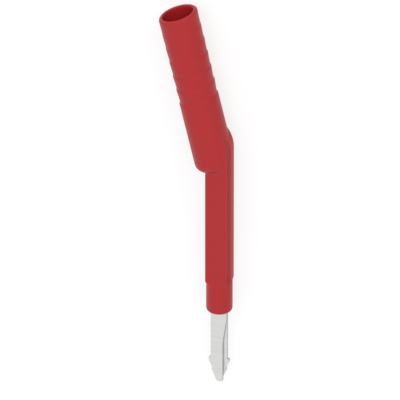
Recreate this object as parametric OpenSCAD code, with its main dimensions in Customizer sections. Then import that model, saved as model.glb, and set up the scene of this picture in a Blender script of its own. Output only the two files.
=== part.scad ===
// Test adapter for a shrouded 4 mm test plug, with a flat two-leaf blade for a
// terminal's test slot. A bent handle of one moulding holds a turned socket and
// the contact strip. It lies on its side, as it comes to rest on a bench.

/* [Tube] */
// Outer diameter of the round handle
tube_d = 8.1; // [7.8:0.02:8.8]
// Length of the handle, from its closed end to the mouth
tube_len = 34.45; // [32:0.05:38]
// Distance from the mouth to where the handle's axis crosses the stem's axis
mouth_reach = 37.25; // [35:0.05:40]
// Angle between the handle's axis and the stem's axis
lean = 14; // [10:0.5:18]
// Rounding of the closed end
end_round = 1.9; // [1:0.1:2.6]
// Angle by which the mouth and the grip rings turn on towards the side of the bend
mouth_tilt = 3.4; // [0.5:0.1:5]
// Angle by which the mouth and the grip rings turn to the front
mouth_dip = 3; // [0:0.5:5]
// Rounding of the lip's outer edge; its inner edge takes up the rest of the wall
lip_r = 0.6; // [0.3:0.05:0.7]

/* [Grip rings] */
// Number of sawtooth rings
ring_count = 6; // [2:1:8]
// Distance from the mouth to the first step
first_step = 3.5; // [2:0.05:4]
// Distance from one step to the next
ring_pitch = 3.05; // [2.4:0.05:3.2]
// Depth of the step nearest the mouth
first_depth = 0.09; // [0.05:0.01:0.15]
// Depth of the last step
last_depth = 0.23; // [0.16:0.01:0.3]
// Length along the handle over which each step slopes in
ledge_run = 0.4; // [0.1:0.05:0.5]

/* [Stem] */
// Width of the stem, across the bend
stem_w = 4.58; // [4.3:0.02:5]
// Thickness of the stem, front to back
stem_t = 4.8; // [4.4:0.02:5]
// Rounding of the stem's long edges
stem_edge_r = 0.4; // [0.1:0.05:0.6]
// Height of the shoulder's start above the crossing of the axes
shoulder_rise = 7.1; // [6.6:0.1:7.6]
// Radius of the shoulder
shoulder_r = 6.5; // [6:0.1:7.2]
// Angle that the shoulder turns through before it is lost in the tube
shoulder_sweep = 48; // [46:1:52]

/* [Side notch] */
// Width of the notch along the stem's side
notch_w = 2.3; // [1.6:0.1:2.6]
// Slant of the notch's floor off the stem's side
notch_slant = 25; // [18:1:28]
// Thickness of the flange in front of the notch
front_flange = 0.6; // [0.5:0.05:1]

/* [Nose] */
// Diameter of the round nose
nose_d = 5.36; // [5.1:0.02:5.8]
// Length of the nose
nose_len = 6.45; // [5.8:0.05:8]
// Rounding of the nose's end
nose_round = 0.7; // [0.3:0.05:0.8]
// Length over which the stem's corners narrow to the nose
nose_blend = 0.9; // [0.5:0.05:1.6]
// Radius with which the nose turns in to the stem's faces
nose_turn_r = 1.9; // [1.2:0.1:2.6]
// Distance from the nose's end up to the crossing of the axes
nose_reach = 29.9; // [27:0.1:34]

/* [Plug socket] */
// Bore for the plug's pin
plug_d = 4; // [3.9:0.01:4.1]
// Wall of the socket sleeve
sleeve_wall = 0.5; // [0.4:0.02:0.6]
// Depth of the bore for the pin
plug_depth = 17.5; // [15:0.1:18]
// Width of the recess for the plug's shroud
recess_d = 6.4; // [6.2:0.02:6.8]
// Depth of the recess
recess_depth = 21.65; // [20:0.05:22.3]
// Distance from the mouth to the front of the socket sleeve
socket_setback = 4.9; // [4.4:0.1:6]
// Depth to which the sleeve is pressed in below the recess
sleeve_root = 6; // [5:0.1:6.4]
// Diameter of the sleeve's seating collar
collar_d = 5.9; // [5.5:0.05:6.3]
// Thickness of the collar
collar_t = 0.8; // [0.5:0.05:1.2]
// Diameter of the sleeve's solder tail
tail_d = 3.6; // [3.2:0.05:3.8]
// Length of the tail
tail_len = 4; // [3.4:0.1:4.4]
// Depth of the slot in the tail that takes the contact strip
tail_slot = 3; // [2:0.1:3.2]

/* [Blade] */
// Length of the blade below the nose
blade_len = 16.4; // [15:0.1:18]
// Thickness of each leaf
leaf_t = 0.55; // [0.4:0.01:0.6]
// Width of the blade where it leaves the nose
blade_w = 3.34; // [3:0.02:3.6]
// Depth of the blade's wide head below the stem's lower end
head_drop = 1; // [0.5:0.1:2]
// Width of the strip inside the stem
strip_w = 1.8; // [1.4:0.05:2]
// Length of the rear leaf's root above the stem's lower end
root_len = 3.2; // [2:0.1:5]
// Distance of each leaf's cut-back edge from the blade's middle
cut_back = 0.9; // [0.6:0.02:1.2]
// Height at which the cut-back edge starts to slant outwards
slant_start = 9.1; // [7:0.1:10]
// Height at which the slant reaches the full width
slant_end = 14.4; // [12:0.1:14.8]
// Height of the barbs above the tip
barb_z = 4.7; // [4.2:0.05:5.4]
// How far each barb stands out from the blade's side
barb_out = 0.45; // [0.3:0.02:0.6]
// Height of each barb's outer end
barb_h = 0.55; // [0.4:0.05:0.7]
// Rounding of the barb's upper corner
barb_round = 0.2; // [0.05:0.05:0.3]
// Height above the tip at which the flank below the barb steepens
knee_z = 3.15; // [2.9:0.05:3.4]
// Length of the flank's steep stretch
knee_len = 0.7; // [0.4:0.05:1]
// Distance of the steep stretch inside the leaf's full width
knee_in = 0.25; // [0.15:0.05:0.35]
// Distance of the tip's corner on the barb's side from the blade's middle
tip_half = 0.5; // [0.4:0.02:0.7]
// Rounding of the tip's corners
tip_round = 0.3; // [0.1:0.02:0.4]

/* [Fits] */
// Clearance all round an insert in the moulding
seat_gap = 0.02; // [0.01:0.005:0.04]

/* [Hidden] */
$fn = 96;

tube_r = tube_d / 2;
sleeve_d = plug_d + 2 * sleeve_wall;
tube_low = mouth_reach - tube_len;

// Places along the tube's axis, counted from the crossing
recess_floor = mouth_reach - recess_depth;
sleeve_low = recess_floor - sleeve_root;
sleeve_high = mouth_reach - socket_setback;
tail_low = sleeve_low - tail_len;
strip_high = tail_low + tail_slot - seat_gap;

// Heights along the stem's axis, counted from the crossing
nose_low = -nose_reach;
nose_high = nose_low + nose_len;
tip_z = nose_low - blade_len;

// Centre of the shoulder's arc
arc_u = shoulder_r - stem_w / 2;
arc_z = shoulder_rise;

// The notch across the stem, and the distance from the stem's axis to its floor
notch_front = stem_t / 2 - front_flange;
notch_back = notch_front - notch_w;
notch_depth = notch_w * tan(notch_slant);
floor_near = stem_w / 2 * cos(notch_slant) + notch_back * sin(notch_slant);

// The wide head of the strip and leaf starts below the notch
head_top = nose_high - head_drop;
leaf_root_top = nose_high + root_len;

// Reach of cuts that pass right through, run-out of stock and cutters past an end, and
// overlap of shapes that join
far = 30;
reach = 2;
overlap = 0.5;

// Depth to which an end is hidden in the face that it runs out in, and the least
// distance between faces that would otherwise coincide
tuck = 0.05;
skin = 0.01;

// The part lies on the tube and on the rim of the nose
rim_r = nose_d / 2 - nose_round;
rim_reach = nose_reach - nose_round;
rim_dip = asin((tube_r - nose_round) / norm([rim_reach, rim_r])) - atan2(rim_r, rim_reach);
roll = asin(sin(rim_dip) / sin(lean));

// The mouth's whole angle off square, and the crest of its lip
mouth_angle = acos(cos(mouth_tilt) * cos(mouth_dip));
crest_r = tube_r - lip_r + 2 * skin;
lip_inner_r = crest_r - recess_d / 2 + tuck;

// The corners of the resting part's box, seen from the crossing
box_x_high = mouth_reach + crest_r * sin(mouth_angle) + lip_r * (1 - cos(mouth_angle));
box_x_low = (tip_z + tip_round) * cos(lean) - (cut_back - tip_round) * sin(lean) - tip_round;
barb_p = (blade_w / 2 + barb_out) * cos(lean) - (tip_z + barb_z) * sin(lean);
box_y_high = barb_p * cos(roll) + leaf_t * sin(roll);
shoulder_p = shoulder_r - arc_u * cos(lean) + arc_z * sin(lean) - stem_edge_r;
shoulder_y = shoulder_p * cos(roll) + (stem_t / 2 - stem_edge_r) * sin(roll) + stem_edge_r;
box_y_low = -max(tube_r, shoulder_y);

// Turns the upright adapter onto its side, with the handle along +X
module lay_down() {
    translate([-(box_x_high + box_x_low) / 2, -(box_y_high + box_y_low) / 2, tube_r])
        rotate([-roll, 0, 0])
            rotate([90, 0, 90])
                rotate([0, -lean, 0])
                    children();
}

// Places children on the tube's axis
module on_tube() {
    rotate([0, lean, 0])
        children();
}

// Stands an outline up in the plane of the bend, between two depths
module upright(back, front) {
    translate([0, front, 0])
        rotate([90, 0, 0])
            linear_extrude(front - back)
                children();
}

function arc_points(centre, r, from, to, steps) =
    [for (i = [0 : steps]) let (a = from + (to - from) * i / steps) centre + r * [cos(a), sin(a)]];

// The stem's section, with its long edges rounded
module rounded_bar_section() {
    u = stem_w / 2 - stem_edge_r;
    n = stem_t / 2 - stem_edge_r;
    polygon(concat(
        arc_points([u, n], stem_edge_r, 0, 90, 6),
        arc_points([-u, n], stem_edge_r, 90, 180, 6),
        arc_points([-u, -n], stem_edge_r, 180, 270, 6),
        arc_points([u, -n], stem_edge_r, 270, 360, 6)
    ));
}

// The stem's straight bar, narrowed to the nose at its lower end
module straight_bar() {
    corner_r = norm([stem_w, stem_t]) / 2;
    intersection() {
        translate([0, 0, nose_high])
            linear_extrude(shoulder_rise - nose_high)
                rounded_bar_section();
        union() {
            translate([0, 0, nose_high])
                cylinder(h = nose_blend, r1 = nose_d / 2 - tuck, r2 = corner_r);
            translate([0, 0, nose_high + nose_blend])
                cylinder(h = shoulder_rise - nose_high, r = corner_r);
        }
    }
}

// The stem's bar, swept round the shoulder into the tube
module shoulder_bar() {
    translate([arc_u, 0, arc_z])
        rotate([90, 0, 0])
            rotate([0, 0, 180 - shoulder_sweep])
                rotate_extrude(angle = shoulder_sweep)
                    translate([shoulder_r - stem_w / 2, 0])
                        rounded_bar_section();
}

// The round nose, which turns in to the stem's faces and runs out in the notch's floor
module nose() {
    profile_r = nose_d / 2;
    turn_r = profile_r - nose_turn_r;
    turn = acos((floor_near - tuck - turn_r) / nose_turn_r);
    translate([0, 0, nose_low])
        rotate_extrude()
            polygon(concat(
                [[0, 0]],
                arc_points([profile_r - nose_round, nose_round], nose_round, -90, 0, 10),
                arc_points([turn_r, nose_len], nose_turn_r, 0, turn, 12),
                [[0, nose_len + nose_turn_r * sin(turn)]]
            ));
}

// The solid tube with its rounded closed end
module tube_solid() {
    translate([0, 0, tube_low])
        rotate_extrude()
            polygon(concat(
                [[0, 0]],
                arc_points([tube_r - end_round, end_round], end_round, -90, 0, 12),
                [[tube_r, tube_len + reach], [0, tube_len + reach]]
            ));
}

// Everything on the mouth's side of a plane across the tube
module beyond(from_mouth) {
    translate([0, 0, mouth_reach - from_mouth])
        rotate([-mouth_dip, mouth_tilt, 0])
            translate([-far / 2, -far / 2, 0])
                cube([far, far, far]);
}

function step_at(i) = i == 0 ? 0 : first_step + (i - 1) * ring_pitch;
function step_depth(i) = first_depth + (last_depth - first_depth) * (i - 1) / (ring_count - 1);

// One tooth of the grip: a shallow cone narrows away from the mouth to the next step,
// where a short steep cone leads out again
module tooth_cut(i) {
    high = step_at(i);
    low = step_at(i + 1);
    depth = step_depth(i + 1);
    fall = depth / (low - high);
    crest = tube_r - fall * tube_r * tan(mouth_angle) - skin;
    difference() {
        intersection() {
            beyond(low);
            translate([0, 0, mouth_reach - low - reach])
                cylinder(h = low - high + 2 * reach, r = tube_r + overlap);
        }
        beyond(high);
        translate([0, 0, mouth_reach - low - 2 * reach])
            cylinder(
                h = low - high + 4 * reach,
                r1 = crest - fall * (low - high + 2 * reach),
                r2 = crest + fall * 2 * reach
            );
        translate([0, 0, mouth_reach - low])
            rotate([-mouth_dip, mouth_tilt, 0])
                translate([0, 0, -reach])
                    cylinder(
                        h = reach + 2 * ledge_run,
                        r1 = tube_r - tuck + depth * reach / ledge_run,
                        r2 = tube_r - tuck - 2 * depth
                    );
    }
}

// What is cut away above the mouth and round its lip
module mouth_cut() {
    outside_r = tube_r + overlap;
    translate([0, 0, mouth_reach])
        rotate([-mouth_dip, mouth_tilt, 0])
            rotate_extrude()
                polygon(concat(
                    [[0, far / 3], [0, -lip_inner_r]],
                    arc_points([crest_r, -lip_inner_r], lip_inner_r, 180, 90, 6),
                    arc_points([crest_r, -lip_r], lip_r, 82, 4, 10),
                    [[outside_r, -lip_r], [outside_r, far / 3]]
                ));
}

module grip_tube() {
    on_tube()
        difference() {
            tube_solid();
            for (i = [0 : ring_count - 1])
                tooth_cut(i);
            mouth_cut();
        }
}

// All that lies outside the stem's side and the shoulder's arc, where the tube stops
module beside_stem() {
    upright(-tube_d, tube_d) {
        translate([-far, -far])
            square([far - stem_w / 2, far + arc_z]);
        difference() {
            translate([arc_u, arc_z])
                polygon([[0, 0], [-far, 0], [-far, far * tan(lean)]]);
            translate([arc_u, arc_z])
                circle(r = shoulder_r, $fn = 256);
        }
    }
}

// The notch along the stem's side, behind the front flange: its floor slants inwards
// to the flange, and it ends in a point where the shoulder turns away over it
module notch() {
    side = -stem_w / 2;
    translate([0, 0, nose_high - overlap])
        linear_extrude(shoulder_rise + shoulder_r - nose_high + overlap)
            polygon([
                [-far, notch_back],
                [side, notch_back],
                [side + notch_depth, notch_front],
                [-far, notch_front]
            ]);
}

// Outline of the strip inside the moulding: a leg up the tube and a leg down the stem
module strip_outline(grow) {
    leg = strip_w + 2 * grow;
    rotate(-lean)
        translate([-leg / 2, 0])
            square([leg, strip_high + grow]);
    circle(d = leg, $fn = 48);
    translate([-leg / 2, head_top - overlap])
        square([leg, overlap - head_top]);
}

// Outline of the rear leaf's root inside the moulding
module leaf_root_outline(grow) {
    leg = strip_w + 2 * grow;
    translate([-leg / 2, head_top - overlap])
        square([leg, leaf_root_top + grow - head_top + overlap]);
}

// The slot in the nose for the wide head of one leaf
module head_slot() {
    half = blade_w / 2 + seat_gap;
    translate([-half, nose_low - overlap])
        square([2 * half, head_top + seat_gap - nose_low + overlap]);
}

// The cavities for the socket sleeve and for the plug's shroud
module socket_cavity() {
    on_tube() {
        translate([0, 0, recess_floor])
            cylinder(h = recess_depth + reach, d = recess_d);
        translate([0, 0, sleeve_low - seat_gap])
            cylinder(h = sleeve_root + overlap, d = sleeve_d + 2 * seat_gap);
        translate([0, 0, tail_low - seat_gap])
            cylinder(h = tail_len + overlap, d = tail_d + 2 * seat_gap);
    }
}

module housing() {
    color([0.7, 0.1, 0.12])
        lay_down()
            difference() {
                union() {
                    difference() {
                        union() {
                            difference() {
                                grip_tube();
                                beside_stem();
                            }
                            straight_bar();
                            shoulder_bar();
                        }
                        notch();
                    }
                    nose();
                }
                socket_cavity();
                upright(-seat_gap, leaf_t + seat_gap)
                    strip_outline(seat_gap);
                upright(-leaf_t - seat_gap, seat_gap)
                    leaf_root_outline(seat_gap);
                upright(-leaf_t - seat_gap, leaf_t + seat_gap)
                    head_slot();
            }
}

// The turned sleeve that grips the plug's pin, with a slotted solder tail
module plug_socket() {
    lead_in = 0.35;
    edge = 0.2;
    length = sleeve_high - sleeve_low;
    bore_low = sleeve_high - plug_depth;
    point_h = plug_d / 4;
    color([0.78, 0.78, 0.76])
        lay_down()
            on_tube()
                difference() {
                    union() {
                        translate([0, 0, sleeve_low])
                            cylinder(h = length - edge, d = sleeve_d);
                        translate([0, 0, sleeve_high - edge])
                            cylinder(h = edge, d1 = sleeve_d, d2 = sleeve_d - 2 * edge);
                        translate([0, 0, recess_floor])
                            cylinder(h = collar_t, d = collar_d);
                        translate([0, 0, tail_low])
                            cylinder(h = tail_len + overlap, d = tail_d);
                    }
                    translate([0, 0, bore_low])
                        cylinder(h = plug_depth + reach, d = plug_d);
                    translate([0, 0, bore_low - point_h])
                        cylinder(h = point_h + skin, d1 = 2 * edge, d2 = plug_d - edge);
                    translate([0, 0, sleeve_high - lead_in])
                        cylinder(h = lead_in + skin, d1 = plug_d, d2 = plug_d + 2 * lead_in);
                    translate([-tail_d, -seat_gap, tail_low - reach])
                        cube([2 * tail_d, leaf_t + 2 * seat_gap, tail_slot + reach]);
                }
}

// One leaf of the blade, from its head in the nose to the rounded tip, with its barb
module leaf_outline() {
    half = blade_w / 2;
    barb_tip = half + barb_out;
    barb_low = tip_z + barb_z;
    barb_top = barb_low + barb_h;
    knee_u = half - knee_in;
    polygon(concat(
        [[-half, head_top], [half, head_top], [half, barb_top]],
        arc_points([barb_tip - barb_round, barb_top - barb_round], barb_round, 90, 0, 5),
        [[barb_tip, barb_low], [knee_u, tip_z + knee_z], [knee_u, tip_z + knee_z - knee_len]],
        arc_points([tip_half - tip_round, tip_z + tip_round], tip_round, 0, -90, 6),
        arc_points([tip_round - cut_back, tip_z + tip_round], tip_round, -90, -180, 6),
        [[-cut_back, tip_z + slant_start], [-half, tip_z + slant_end]]
    ));
}

// The contact strip runs from the socket's tail down the stem and ends in the front leaf
module contact_strip() {
    color([0.85, 0.85, 0.84])
        lay_down() {
            upright(0, leaf_t)
                strip_outline(0);
            upright(0, leaf_t)
                leaf_outline();
        }
}

// The rear leaf is the front leaf turned about, back to back with the strip
module rear_leaf() {
    color([0.82, 0.82, 0.81])
        lay_down()
            rotate([0, 0, 180]) {
                upright(0, leaf_t)
                    leaf_root_outline(0);
                upright(0, leaf_t)
                    leaf_outline();
            }
}

housing();
plug_socket();
contact_strip();
rear_leaf();
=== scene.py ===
"""Test adapter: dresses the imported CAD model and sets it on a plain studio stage."""
import math

import bpy
from mathutils import Matrix, Vector


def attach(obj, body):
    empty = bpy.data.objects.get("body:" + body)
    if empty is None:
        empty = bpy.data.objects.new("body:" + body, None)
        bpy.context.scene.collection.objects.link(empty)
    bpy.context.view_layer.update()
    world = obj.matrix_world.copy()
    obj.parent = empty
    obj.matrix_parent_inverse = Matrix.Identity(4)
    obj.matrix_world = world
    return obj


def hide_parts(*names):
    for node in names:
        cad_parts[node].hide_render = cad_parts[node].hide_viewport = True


bl_info = {
    "name": "Test adapter",
    "version": (1, 0, 0),
    "blender": (4, 5, 0),
    "location": "3D View > Sidebar > Adapter",
    "description": "Makes the pieces of a bent test adapter and its stage",
    "category": "Object",
}

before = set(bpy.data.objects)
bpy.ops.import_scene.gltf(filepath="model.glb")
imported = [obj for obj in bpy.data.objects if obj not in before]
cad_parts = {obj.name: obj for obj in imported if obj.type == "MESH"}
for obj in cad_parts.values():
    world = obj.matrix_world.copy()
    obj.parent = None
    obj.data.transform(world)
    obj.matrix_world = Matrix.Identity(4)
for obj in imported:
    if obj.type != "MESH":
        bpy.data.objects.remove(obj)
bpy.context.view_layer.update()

# The resting part's own directions in the row frame: the handle's axis runs along X, and
# the part is rolled about it until the rim of the nose meets the floor.
LEAN = math.radians(14)
ROLL = math.radians(11.2008)
CROSSING = Vector((0.0037763, -0.0037734, 0.00405))
UPRIGHT = (
    Matrix.Rotation(-ROLL, 3, "X")
    @ Matrix.Rotation(math.pi / 2, 3, "Z")
    @ Matrix.Rotation(math.pi / 2, 3, "X")
    @ Matrix.Rotation(-LEAN, 3, "Y")
)
LAID = Matrix.Translation(CROSSING) @ UPRIGHT.to_4x4()

# Where the handle's rounded end meets the stem's front, on the upright part: in front of a
# plane, within a distance of the middle, and between two places along the handle's axis.
FOOT_FRONT = 0.00225
FOOT_HALF_WIDTH = 0.0022
FOOT_ALONG = (0.0018, 0.0046)

# Distance under which the corners of a CAD mesh's loose triangles are joined.
JOIN_DISTANCE = 0.000002

# How fine the surface patterns are, in waves a metre, and how high the finest ones stand.
MOTTLE = 260
SKIN = 5200
DRAWN_LINES = 7200
WEAR_BANDS = 2400
RELIEF = 0.00001

# How far the patterns are drawn out one way: the leaves' lines run up the blade, and the
# sleeve's run round it, as it was turned.
DRAWN_OUT = 12
UP_THE_BLADE = (1, 1, DRAWN_OUT)
ROUND_THE_SLEEVE = (1, DRAWN_OUT, DRAWN_OUT)

# The middle of the view, to the right of the axes' crossing and above it.
VIEW_CENTRE = (-0.0039, -0.004)
SENSOR_WIDTH = 36
FLOOR_SIZE = 4
FLOOR_DROP = 0.00002
KEY_DISTANCE = 0.6


class AdapterMoulding(bpy.types.PropertyGroup):
    """How far the moulding's and the leaves' edges are softened."""

    grain: bpy.props.FloatProperty(
        name="Grain",
        description="Size of the even faces that the moulding is rebuilt from",
        unit="LENGTH",
        min=0.0001,
        max=0.0004,
        precision=5,
        default=0.00012,
    )
    smoothing: bpy.props.IntProperty(
        name="Smoothing",
        description="Rounds of smoothing, which set how soft the moulded edges are",
        min=0,
        max=40,
        default=12,
    )
    blend_rounds: bpy.props.IntProperty(
        name="Blend rounds",
        description="Rounds of smoothing that melt the handle's end into the stem's front",
        min=0,
        max=400,
        default=150,
    )
    kept_faces: bpy.props.FloatProperty(
        name="Kept faces",
        description="Share of the moulding's faces that is kept at the end",
        subtype="FACTOR",
        min=0.1,
        max=1,
        default=0.4,
    )
    stamped_edge: bpy.props.FloatProperty(
        name="Stamped edge",
        description="Rounding of the leaves' stamped edges",
        unit="LENGTH",
        min=0,
        max=0.0001,
        precision=5,
        default=0.00005,
    )


class AdapterFinish(bpy.types.PropertyGroup):
    """Colours and gloss of the moulding and the metal."""

    plastic_colour: bpy.props.FloatVectorProperty(
        name="Plastic colour",
        description="Colour of the red moulding",
        subtype="COLOR",
        size=3,
        min=0,
        max=1,
        default=(0.455, 0.017, 0.02),
    )
    plastic_roughness: bpy.props.FloatProperty(
        name="Plastic roughness",
        description="Roughness of the moulding's satin skin",
        subtype="FACTOR",
        min=0,
        max=1,
        default=0.42,
    )
    # How dark the leaves' sides are made: partly duller sheared metal, partly painted shade
    # for the seam between the leaves.
    cut_edge_and_shade: bpy.props.FloatProperty(
        name="Cut edge",
        description="Brightness of the leaves' sheared edges beside their plated faces",
        subtype="FACTOR",
        min=0,
        max=1,
        default=0.65,
    )
    blade_colour: bpy.props.FloatVectorProperty(
        name="Blade colour",
        description="Colour of the tin-plated leaves",
        subtype="COLOR",
        size=3,
        min=0,
        max=1,
        default=(0.7, 0.7, 0.69),
    )
    blade_roughness: bpy.props.FloatProperty(
        name="Blade roughness",
        description="Roughness of the leaves' tin plating",
        subtype="FACTOR",
        min=0.1,
        max=1,
        default=0.34,
    )
    socket_colour: bpy.props.FloatVectorProperty(
        name="Socket colour",
        description="Colour of the nickel-plated sleeve in the handle",
        subtype="COLOR",
        size=3,
        min=0,
        max=1,
        default=(0.66, 0.63, 0.56),
    )
    socket_roughness: bpy.props.FloatProperty(
        name="Socket roughness",
        description="Roughness of the sleeve's nickel plating",
        subtype="FACTOR",
        min=0.1,
        max=1,
        default=0.24,
    )


class AdapterStage(bpy.types.PropertyGroup):
    """The floor, the light and the camera."""

    camera_rise: bpy.props.FloatProperty(
        name="Camera rise",
        description="Angle of the camera above the adapter's cross plane",
        subtype="ANGLE",
        default=math.radians(29.5),
    )
    camera_turn: bpy.props.FloatProperty(
        name="Camera turn",
        description="Angle of the camera round the stem from its front face",
        subtype="ANGLE",
        default=math.radians(22),
    )
    view_width: bpy.props.FloatProperty(
        name="View width",
        description="Width of what the camera sees at the adapter",
        unit="LENGTH",
        default=0.08,
    )
    lens: bpy.props.FloatProperty(
        name="Lens",
        description="Focal length, long enough to keep parallel lines parallel",
        subtype="DISTANCE_CAMERA",
        default=1000,
    )
    sky: bpy.props.FloatProperty(
        name="Sky",
        description="Strength of the even white light from all round",
        min=0,
        max=2,
        default=0.8,
    )
    key_power: bpy.props.FloatProperty(
        name="Key power",
        description="Power of the large soft lamp",
        subtype="POWER",
        unit="POWER",
        default=1.4,
    )
    key_size: bpy.props.FloatProperty(
        name="Key size",
        description="Side of the lamp, large enough that the metal mirrors no hard spot",
        unit="LENGTH",
        default=0.7,
    )
    key_place: bpy.props.FloatVectorProperty(
        name="Key place",
        description="Where the lamp stands: to the right, up and towards the camera",
        subtype="DIRECTION",
        size=3,
        default=(0.0, 0.4, 1.0),
    )
    floor_glow: bpy.props.FloatProperty(
        name="Floor glow",
        description="Share of the floor's white that no shadow takes away",
        subtype="FACTOR",
        min=0,
        max=1,
        default=0.72,
    )
    floor_colour: bpy.props.FloatVectorProperty(
        name="Floor colour",
        description="Colour of the plain floor",
        subtype="COLOR",
        size=3,
        min=0,
        max=1,
        default=(0.32, 0.32, 0.32),
    )


def new_material(name):
    """An empty node material with its output, its shader and object coordinates."""
    material = bpy.data.materials.new(name)
    material.use_nodes = True
    nodes = material.node_tree.nodes
    nodes.clear()
    output = nodes.new("ShaderNodeOutputMaterial")
    shader = nodes.new("ShaderNodeBsdfPrincipled")
    place = nodes.new("ShaderNodeTexCoord")
    material.node_tree.links.new(shader.outputs["BSDF"], output.inputs["Surface"])
    return material, shader, place.outputs["Object"]


def add_noise(material, place, scale, detail=3.0, length=(1, 1, 1), turned=(0, 0, 0)):
    """A noise pattern on object coordinates, drawn out by length along turned axes."""
    nodes, links = material.node_tree.nodes, material.node_tree.links
    turn = nodes.new("ShaderNodeMapping")
    turn.vector_type = "TEXTURE"
    turn.inputs["Rotation"].default_value = turned
    turn.inputs["Scale"].default_value = length
    noise = nodes.new("ShaderNodeTexNoise")
    noise.inputs["Scale"].default_value = scale
    noise.inputs["Detail"].default_value = detail
    links.new(place, turn.inputs["Vector"])
    links.new(turn.outputs["Vector"], noise.inputs["Vector"])
    return noise.outputs["Fac"]


def spread(material, factor, low, high):
    """Maps a pattern that runs from 0 to 1 onto a range of values."""
    reach = material.node_tree.nodes.new("ShaderNodeMapRange")
    reach.inputs["From Min"].default_value = 0.3
    reach.inputs["From Max"].default_value = 0.7
    reach.inputs["To Min"].default_value = low
    reach.inputs["To Max"].default_value = high
    material.node_tree.links.new(factor, reach.inputs["Value"])
    return reach.outputs["Result"]


def shade(material, factor, dark, light):
    """Blends two colours by a pattern."""
    mix = material.node_tree.nodes.new("ShaderNodeMix")
    mix.data_type = "RGBA"
    mix.inputs["A"].default_value = (*dark, 1)
    mix.inputs["B"].default_value = (*light, 1)
    material.node_tree.links.new(factor, mix.inputs["Factor"])
    return mix.outputs["Result"]


def raise_pattern(material, shader, pattern, strength):
    """Lets a pattern stand up from the surface."""
    bump = material.node_tree.nodes.new("ShaderNodeBump")
    bump.inputs["Strength"].default_value = strength
    bump.inputs["Distance"].default_value = RELIEF
    material.node_tree.links.new(pattern, bump.inputs["Height"])
    material.node_tree.links.new(bump.outputs["Normal"], shader.inputs["Normal"])


def satin_plastic(colour, roughness):
    """Red moulded plastic: a faintly mottled colour and a fine spark-eroded skin."""
    material, shader, place = new_material("satin_red_plastic")
    links = material.node_tree.links
    mottle = add_noise(material, place, MOTTLE, 4)
    dark = [c * 0.95 for c in colour]
    light = [c * 1.04 for c in colour]
    links.new(shade(material, mottle, dark, light), shader.inputs["Base Color"])
    skin = add_noise(material, place, SKIN, 2)
    gloss = spread(material, skin, roughness - 0.04, roughness + 0.05)
    links.new(gloss, shader.inputs["Roughness"])
    shader.inputs["IOR"].default_value = 1.46
    shader.inputs["Specular IOR Level"].default_value = 0.4
    raise_pattern(material, shader, skin, 0.12)
    return material


def plated_metal(name, colour, roughness, lines_along, turned=(0, 0, 0)):
    """Plated metal with fine lines one way and faint wear bands across them."""
    material, shader, place = new_material(name)
    links = material.node_tree.links
    shader.inputs["Metallic"].default_value = 1
    lines = add_noise(material, place, DRAWN_LINES, 3, lines_along, turned)
    wear_across = [DRAWN_OUT / length for length in lines_along]
    wear = add_noise(material, place, WEAR_BANDS, 2, wear_across, turned)
    dark = [c * 0.9 for c in colour]
    light = [c * 1.08 for c in colour]
    links.new(shade(material, wear, dark, light), shader.inputs["Base Color"])
    gloss = spread(material, lines, roughness - 0.06, roughness + 0.06)
    links.new(gloss, shader.inputs["Roughness"])
    raise_pattern(material, shader, lines, 0.08)
    return material


def darken_cut_and_shaded_sides(material, facing, level):
    """Darkens what doesn't face one way: partly the duller sheared metal of a plated strip,
    partly painted shade for the dark seam between the leaves.
    """
    nodes, links = material.node_tree.nodes, material.node_tree.links
    shader = next(one for one in nodes if one.type == "BSDF_PRINCIPLED")
    place = nodes.new("ShaderNodeTexCoord")
    turn = nodes.new("ShaderNodeVectorMath")
    turn.operation = "DOT_PRODUCT"
    turn.inputs[1].default_value = facing
    size = nodes.new("ShaderNodeMath")
    size.operation = "ABSOLUTE"
    links.new(place.outputs["Normal"], turn.inputs[0])
    links.new(turn.outputs["Value"], size.inputs[0])
    # Painted shade: the leaves' sides are darkened to the given level, for the seam between
    # them.
    side_shade_factor = spread(material, size.outputs[0], level, 1)
    tone = nodes.new("ShaderNodeMix")
    tone.data_type = "RGBA"
    tone.blend_type = "MULTIPLY"
    tone.inputs["Factor"].default_value = 1
    links.new(shader.inputs["Base Color"].links[0].from_socket, tone.inputs["A"])
    links.new(side_shade_factor, tone.inputs["B"])
    links.new(tone.outputs["Result"], shader.inputs["Base Color"])


def dress(node, material):
    """Gives a carried-over CAD node its material."""
    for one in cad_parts[node].material_slots:
        one.link = "OBJECT"
        one.material = material


def pick(context, piece):
    """Makes a piece the only selected and active object."""
    bpy.ops.object.select_all(action="DESELECT")
    context.view_layer.objects.active = piece
    piece.select_set(True)


def merged_copy(context, node, name):
    """A new piece from a CAD node's mesh, with its loose triangles joined up."""
    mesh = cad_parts[node].data.copy()
    mesh.name = name
    mesh.materials.clear()
    piece = bpy.data.objects.new(name, mesh)
    context.scene.collection.objects.link(piece)
    pick(context, piece)
    bpy.ops.object.mode_set(mode="EDIT")
    bpy.ops.mesh.select_all(action="SELECT")
    bpy.ops.mesh.remove_doubles(threshold=JOIN_DISTANCE)
    bpy.ops.object.mode_set(mode="OBJECT")
    return piece


def finish_with(piece, kind, **settings):
    """Adds a modifier to the active piece and applies it."""
    bpy.ops.object.modifier_add(type=kind)
    modifier = piece.modifiers[-1]
    for name, value in settings.items():
        setattr(modifier, name, value)
    bpy.ops.object.modifier_apply(modifier=modifier.name)


def hand_over(piece, node, material):
    """Puts a finished piece in its CAD node's place."""
    piece.data.materials.append(material)
    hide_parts(node)
    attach(piece, "root")


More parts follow.
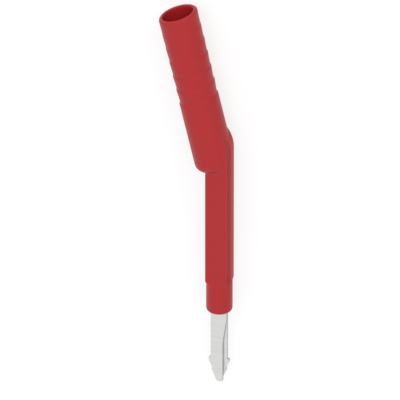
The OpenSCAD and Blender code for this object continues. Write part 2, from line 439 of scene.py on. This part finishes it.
def soften_junction(piece, rounds):
    """Melts the foot of the handle's rounded end into the stem's front face."""
    bpy.ops.object.mode_set(mode="EDIT")
    bpy.ops.mesh.select_all(action="DESELECT")
    bpy.ops.object.mode_set(mode="OBJECT")
    stand = LAID.inverted()
    lowest, highest = FOOT_ALONG
    for vertex in piece.data.vertices:
        side, front, rise = stand @ vertex.co
        along = side * math.sin(LEAN) + rise * math.cos(LEAN)
        if front > FOOT_FRONT and abs(side) < FOOT_HALF_WIDTH and lowest < along < highest:
            vertex.select = True
    bpy.ops.object.mode_set(mode="EDIT")
    bpy.ops.mesh.vertices_smooth(factor=0.5, repeat=rounds)
    bpy.ops.object.mode_set(mode="OBJECT")


class ADAPTER_OT_moulding(bpy.types.Operator):
    """The one-piece red moulding: handle, stem and nose, with softly rounded edges"""

    bl_idname = "adapter.moulding"
    bl_label = "Red moulding"

    def execute(self, context):
        finish = context.scene.adapter_finish
        form = context.scene.adapter_moulding
        piece = merged_copy(context, "housing", "moulding")
        # Stood upright, the stem's flat sides lie along the even faces' grid.
        piece.data.transform(LAID.inverted())
        finish_with(piece, "REMESH", mode="VOXEL", voxel_size=form.grain, adaptivity=0)
        piece.data.transform(LAID)
        finish_with(piece, "SHRINKWRAP", target=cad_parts["housing"])
        finish_with(piece, "SMOOTH", factor=0.5, iterations=form.smoothing)
        soften_junction(piece, form.blend_rounds)
        finish_with(piece, "DECIMATE", ratio=form.kept_faces)
        bpy.ops.object.shade_smooth()
        plastic = satin_plastic(finish.plastic_colour, finish.plastic_roughness)
        hand_over(piece, "housing", plastic)
        return {"FINISHED"}


class ADAPTER_OT_metal(bpy.types.Operator):
    """The socket sleeve, the contact strip and the rear leaf"""

    bl_idname = "adapter.metal"
    bl_label = "Metal contacts"

    def execute(self, context):
        finish = context.scene.adapter_finish
        form = context.scene.adapter_moulding
        leaf = plated_metal(
            "tinned_strip",
            finish.blade_colour,
            finish.blade_roughness,
            UP_THE_BLADE,
            UPRIGHT.to_euler(),
        )
        # Darkens the leaves' sides: partly their duller sheared metal, partly painted shade
        # for the dark seam between the leaves.
        darken_cut_and_shaded_sides(leaf, UPRIGHT @ Vector((0, 1, 0)), finish.cut_edge_and_shade)
        for node, name in (("contact_strip", "front_contact"), ("rear_leaf", "rear_contact")):
            piece = merged_copy(context, node, name)
            finish_with(
                piece,
                "BEVEL",
                width=form.stamped_edge,
                segments=3,
                limit_method="ANGLE",
                angle_limit=math.radians(50),
                miter_outer="MITER_ARC",
            )
            bpy.ops.object.shade_smooth_by_angle(angle=math.radians(35))
            hand_over(piece, node, leaf)
        sleeve = plated_metal(
            "nickel_sleeve", finish.socket_colour, finish.socket_roughness, ROUND_THE_SLEEVE
        )
        dress("plug_socket", sleeve)
        return {"FINISHED"}


def seen_rays(tree):
    """1 where the camera sees a surface straight, mirrored or through glass, else 0."""
    path = tree.nodes.new("ShaderNodeLightPath")
    seen = path.outputs["Is Camera Ray"]
    for other in ("Is Glossy Ray", "Is Transmission Ray"):
        either = tree.nodes.new("ShaderNodeMath")
        either.operation = "MAXIMUM"
        tree.links.new(seen, either.inputs[0])
        tree.links.new(path.outputs[other], either.inputs[1])
        seen = either.outputs[0]
    return seen


class ADAPTER_OT_stage(bpy.types.Operator):
    """The pale floor, the soft light and the camera"""

    bl_idname = "adapter.stage"
    bl_label = "Stage"

    def execute(self, context):
        stage = context.scene.adapter_stage
        scene = context.scene
        scene.view_settings.view_transform = "Standard"

        bpy.ops.mesh.primitive_plane_add(size=FLOOR_SIZE, location=(0, 0, -FLOOR_DROP))
        floor = context.object
        floor.name = "floor"
        material, shader, _ = new_material("pale_floor")
        shader.inputs["Base Color"].default_value = (*stage.floor_colour, 1)
        shader.inputs["Roughness"].default_value = 0.9
        shader.inputs["Specular IOR Level"].default_value = 0.2
        shader.inputs["Emission Color"].default_value = (1, 1, 1, 1)
        glow = material.node_tree.nodes.new("ShaderNodeMath")
        glow.operation = "MULTIPLY"
        glow.inputs[1].default_value = stage.floor_glow
        links = material.node_tree.links
        links.new(seen_rays(material.node_tree), glow.inputs[0])
        links.new(glow.outputs[0], shader.inputs["Emission Strength"])
        floor.data.materials.append(material)

        world = bpy.data.worlds.new("even_white")
        world.use_nodes = True
        scene.world = world
        nodes, links = world.node_tree.nodes, world.node_tree.links
        nodes.clear()
        output = nodes.new("ShaderNodeOutputWorld")
        light = nodes.new("ShaderNodeBackground")
        light.inputs["Color"].default_value = (1, 1, 1, 1)
        light.inputs["Strength"].default_value = stage.sky
        seen = nodes.new("ShaderNodeBackground")
        seen.inputs["Color"].default_value = (1, 1, 1, 1)
        mix = nodes.new("ShaderNodeMixShader")
        links.new(seen_rays(world.node_tree), mix.inputs["Fac"])
        links.new(light.outputs[0], mix.inputs[1])
        links.new(seen.outputs[0], mix.inputs[2])
        links.new(mix.outputs[0], output.inputs["Surface"])

        rise, turn = stage.camera_rise, stage.camera_turn
        back = Vector((
            -math.cos(rise) * math.sin(turn),
            math.cos(rise) * math.cos(turn),
            math.sin(rise),
        ))
        right = Vector((-math.cos(turn), -math.sin(turn), 0))
        up = back.cross(right)
        aim = CROSSING + UPRIGHT @ (right * VIEW_CENTRE[0] + up * VIEW_CENTRE[1])
        away = stage.lens / SENSOR_WIDTH * stage.view_width
        camera_data = bpy.data.cameras.new("camera")
        camera_data.lens = stage.lens
        camera_data.sensor_width = SENSOR_WIDTH
        camera_data.clip_end = 20
        camera = bpy.data.objects.new("camera", camera_data)
        scene.collection.objects.link(camera)
        turned = UPRIGHT @ Matrix((right, up, back)).transposed()
        place = aim + (UPRIGHT @ back) * away
        camera.matrix_world = Matrix.Translation(place) @ turned.to_4x4()
        scene.camera = camera

        lamp_data = bpy.data.lights.new("key", "AREA")
        lamp_data.energy = stage.key_power
        lamp_data.size = stage.key_size
        lamp = bpy.data.objects.new("key", lamp_data)
        # The mirrored sky is white already, so the lamp adds no glare of its own to the metal.
        lamp.visible_glossy = False
        scene.collection.objects.link(lamp)
        aside, raised, near = stage.key_place
        shine = UPRIGHT @ (right * aside + up * raised + back * near).normalized()
        lamp.location = aim + shine * KEY_DISTANCE
        lamp.rotation_mode = "QUATERNION"
        lamp.rotation_quaternion = (-shine).to_track_quat("-Z", "Y")
        return {"FINISHED"}


class ADAPTER_PT_panel(bpy.types.Panel):
    """Lists the adapter's sizes, colours and steps"""

    bl_label = "Test adapter"
    bl_space_type = "VIEW_3D"
    bl_region_type = "UI"
    bl_category = "Adapter"

    def draw(self, context):
        layout = self.layout
        scene = context.scene
        for group in (scene.adapter_moulding, scene.adapter_finish, scene.adapter_stage):
            box = layout.box()
            for name in group.__annotations__:
                box.prop(group, name)
        for step in STEPS:
            layout.operator(step.bl_idname)


STEPS = (ADAPTER_OT_moulding, ADAPTER_OT_metal, ADAPTER_OT_stage)
CLASSES = (AdapterMoulding, AdapterFinish, AdapterStage, *STEPS, ADAPTER_PT_panel)


def register():
    for one in CLASSES:
        bpy.utils.register_class(one)
    bpy.types.Scene.adapter_moulding = bpy.props.PointerProperty(type=AdapterMoulding)
    bpy.types.Scene.adapter_finish = bpy.props.PointerProperty(type=AdapterFinish)
    bpy.types.Scene.adapter_stage = bpy.props.PointerProperty(type=AdapterStage)


def unregister():
    del bpy.types.Scene.adapter_stage
    del bpy.types.Scene.adapter_finish
    del bpy.types.Scene.adapter_moulding
    for one in reversed(CLASSES):
        bpy.utils.unregister_class(one)


def main():
    register()
    bpy.ops.adapter.moulding()
    bpy.ops.adapter.metal()
    bpy.ops.adapter.stage()


if __name__ == "__main__":
    main()
